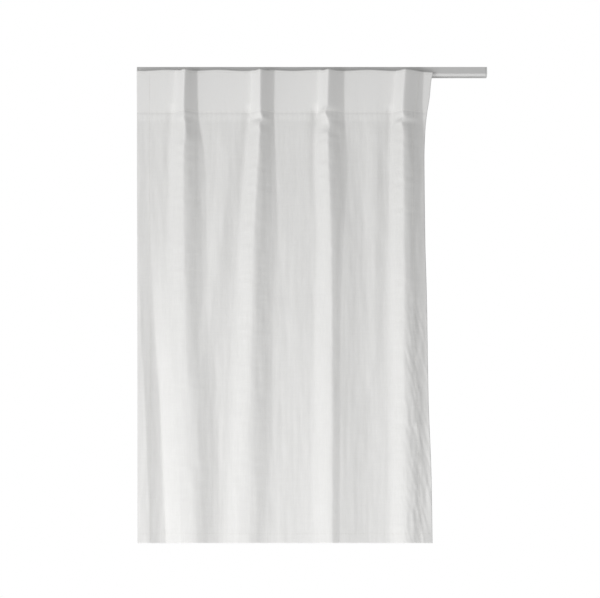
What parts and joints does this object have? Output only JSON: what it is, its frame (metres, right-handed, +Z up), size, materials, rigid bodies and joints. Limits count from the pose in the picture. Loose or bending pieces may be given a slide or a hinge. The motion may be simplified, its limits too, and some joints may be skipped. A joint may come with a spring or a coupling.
{
  "type": "pleated curtain panel on a ceiling track",
  "caption": "Off-white woven curtain panel with a pleated heading band, hung by wire hooks from gliders that run in a slim ceiling track.",
  "frame": {"origin": "middle of the track's top face, which lies against the ceiling", "axes": "+Z up, +X along the track to the right seen from the room, -Y towards the room, so the cloth hangs down -Z"},
  "size_m": [0.7706, 0.0652, 1.043],
  "materials": {
    "curtain_cloth": "matte",
    "tape_cloth": "matte",
    "track_metal": "satin",
    "cap_plastic": "matte",
    "glider_plastic": "satin",
    "hook_steel": "satin"
  },
  "bodies": {
    "track": {"track_profile": "track_metal", "end_cap_left": "cap_plastic", "end_cap_right": "cap_plastic", "glider_left_end": "glider_plastic", "hook_left_end": "hook_steel", "side_hem_left": "curtain_cloth"},
    "lead_carrier": {"glider_right_end": "glider_plastic", "hook_right_end": "hook_steel", "side_hem_right": "curtain_cloth"},
    "carrier_1": {"glider_1": "glider_plastic", "hook_1": "hook_steel", "heading_1": "curtain_cloth", "heading_tape_1": "tape_cloth", "drop_1": "curtain_cloth", "bottom_hem_1": "curtain_cloth"},
    "carrier_2": {"glider_2": "glider_plastic", "hook_2": "hook_steel", "heading_2": "curtain_cloth", "heading_tape_2": "tape_cloth", "drop_2": "curtain_cloth", "bottom_hem_2": "curtain_cloth"},
    "carrier_3": {"glider_3": "glider_plastic", "hook_3": "hook_steel", "heading_3": "curtain_cloth", "heading_tape_3": "tape_cloth", "drop_3": "curtain_cloth", "bottom_hem_3": "curtain_cloth"},
    "carrier_4": {"glider_4": "glider_plastic", "hook_4": "hook_steel", "heading_4": "curtain_cloth", "heading_tape_4": "tape_cloth", "drop_4": "curtain_cloth", "bottom_hem_4": "curtain_cloth"}
  },
  "joints": [
    {"name": "draw_slide", "type": "slide", "parent": "track", "child": "lead_carrier", "axis": [1, 0, 0], "range_m": [-0.394, 0], "deforming": ["side_hem_left"]},
    {"name": "carrier_1_slide", "type": "slide", "parent": "track", "child": "carrier_1", "axis": [1, 0, 0], "range_m": [-0.0241, 0], "deforming": ["heading_1", "heading_tape_1", "drop_1", "bottom_hem_1"]},
    {"name": "carrier_2_slide", "type": "slide", "parent": "track", "child": "carrier_2", "axis": [1, 0, 0], "range_m": [-0.1298, 0], "deforming": ["heading_2", "heading_tape_2", "drop_2", "bottom_hem_2"]},
    {"name": "carrier_3_slide", "type": "slide", "parent": "track", "child": "carrier_3", "axis": [1, 0, 0], "range_m": [-0.2252, 0], "deforming": ["heading_3", "heading_tape_3", "drop_3", "bottom_hem_3"]},
    {"name": "carrier_4_slide", "type": "slide", "parent": "track", "child": "carrier_4", "axis": [1, 0, 0], "range_m": [-0.3329, 0], "deforming": ["heading_4", "heading_tape_4", "drop_4", "bottom_hem_4"]}
  ],
  "couplings": [
    {"joint": "carrier_1_slide", "follows": "draw_slide", "ratio": 0.058537},
    {"joint": "carrier_2_slide", "follows": "draw_slide", "ratio": 0.32683},
    {"joint": "carrier_3_slide", "follows": "draw_slide", "ratio": 0.56911},
    {"joint": "carrier_4_slide", "follows": "draw_slide", "ratio": 0.84228}
  ]
}
